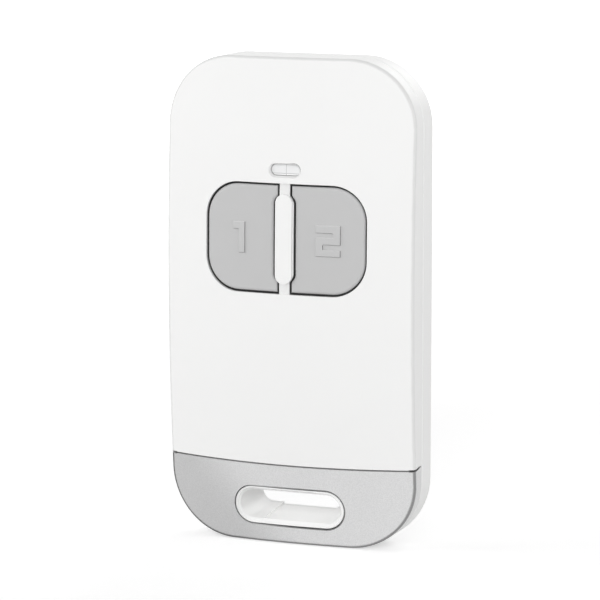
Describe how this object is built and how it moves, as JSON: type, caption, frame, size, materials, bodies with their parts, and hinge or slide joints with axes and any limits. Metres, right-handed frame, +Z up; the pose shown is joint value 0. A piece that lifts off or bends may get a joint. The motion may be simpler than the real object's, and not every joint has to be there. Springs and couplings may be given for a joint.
{
  "type": "door remote control",
  "caption": "Palm-sized door remote: domed white case, grey keys parted by a white bar, clear indicator window, and a grey end cap with an oval keyring slot.",
  "frame": {"origin": "middle of the footprint at the bottom end, where the remote stands", "axes": "+Z up along the remote from the end cap to the top; the face with the keys looks to -Y; +X is the right-hand side of that face"},
  "size_m": [0.0406, 0.012, 0.0756],
  "materials": {
    "white_case": "smooth moulded, soft gloss",
    "grey_cap": "smooth moulded, soft gloss",
    "grey_key": "fine satin",
    "clear_guide": "polished and clear",
    "board_laminate": "solder mask",
    "switch_plastic": "moulded",
    "switch_steel": "plated sheet",
    "plunger_plastic": "moulded",
    "diode_resin": "cast resin",
    "chip_resin": "moulded resin",
    "can_steel": "plated can",
    "copper_wire": "bare drawn wire",
    "resistor_ceramic": "glazed black",
    "capacitor_ceramic": "unglazed tan",
    "cell_steel": "plated can",
    "spring_steel": "plated spring sheet",
    "screw_steel": "zinc plated"
  },
  "bodies": {
    "housing": {"front_cover": "white_case", "rear_cover": "white_case", "light_guide": "clear_guide", "circuit_board": "board_laminate", "coin_cell": "cell_steel", "positive_clip": "spring_steel", "negative_contact": "spring_steel", "indicator_diode": "diode_resin", "transmitter": "chip_resin", "controller": "chip_resin", "crystal": "can_steel", "antenna": "copper_wire", "resistors": "resistor_ceramic", "capacitors": "capacitor_ceramic", "case_screws": "screw_steel", "switch_1_housing": "switch_plastic", "switch_1_frame": "switch_steel", "switch_2_housing": "switch_plastic", "switch_2_frame": "switch_steel"},
    "key_1": {"button_1": "grey_key"},
    "key_2": {"button_2": "grey_key"},
    "plunger_1": {"switch_1_plunger": "plunger_plastic"},
    "plunger_2": {"switch_2_plunger": "plunger_plastic"},
    "cap": {"end_cap": "grey_cap"}
  },
  "joints": [
    {"name": "key_1_press", "type": "slide", "parent": "housing", "child": "key_1", "axis": [0, 1, 0], "range_m": [0, 0.00035], "stiffness_N_per_m": 5000},
    {"name": "key_2_press", "type": "slide", "parent": "housing", "child": "key_2", "axis": [0, 1, 0], "range_m": [0, 0.00035], "stiffness_N_per_m": 5000},
    {"name": "plunger_1_press", "type": "slide", "parent": "housing", "child": "plunger_1", "axis": [0, 1, 0], "range_m": [0, 0.00035]},
    {"name": "plunger_2_press", "type": "slide", "parent": "housing", "child": "plunger_2", "axis": [0, 1, 0], "range_m": [0, 0.00035]},
    {"name": "cap_pull", "type": "slide", "parent": "housing", "child": "cap", "axis": [0, -0.9918, -0.1279], "range_m": [0, 0.005]}
  ],
  "couplings": [
    {"joint": "plunger_1_press", "follows": "key_1_press", "ratio": 1},
    {"joint": "plunger_2_press", "follows": "key_2_press", "ratio": 1}
  ]
}
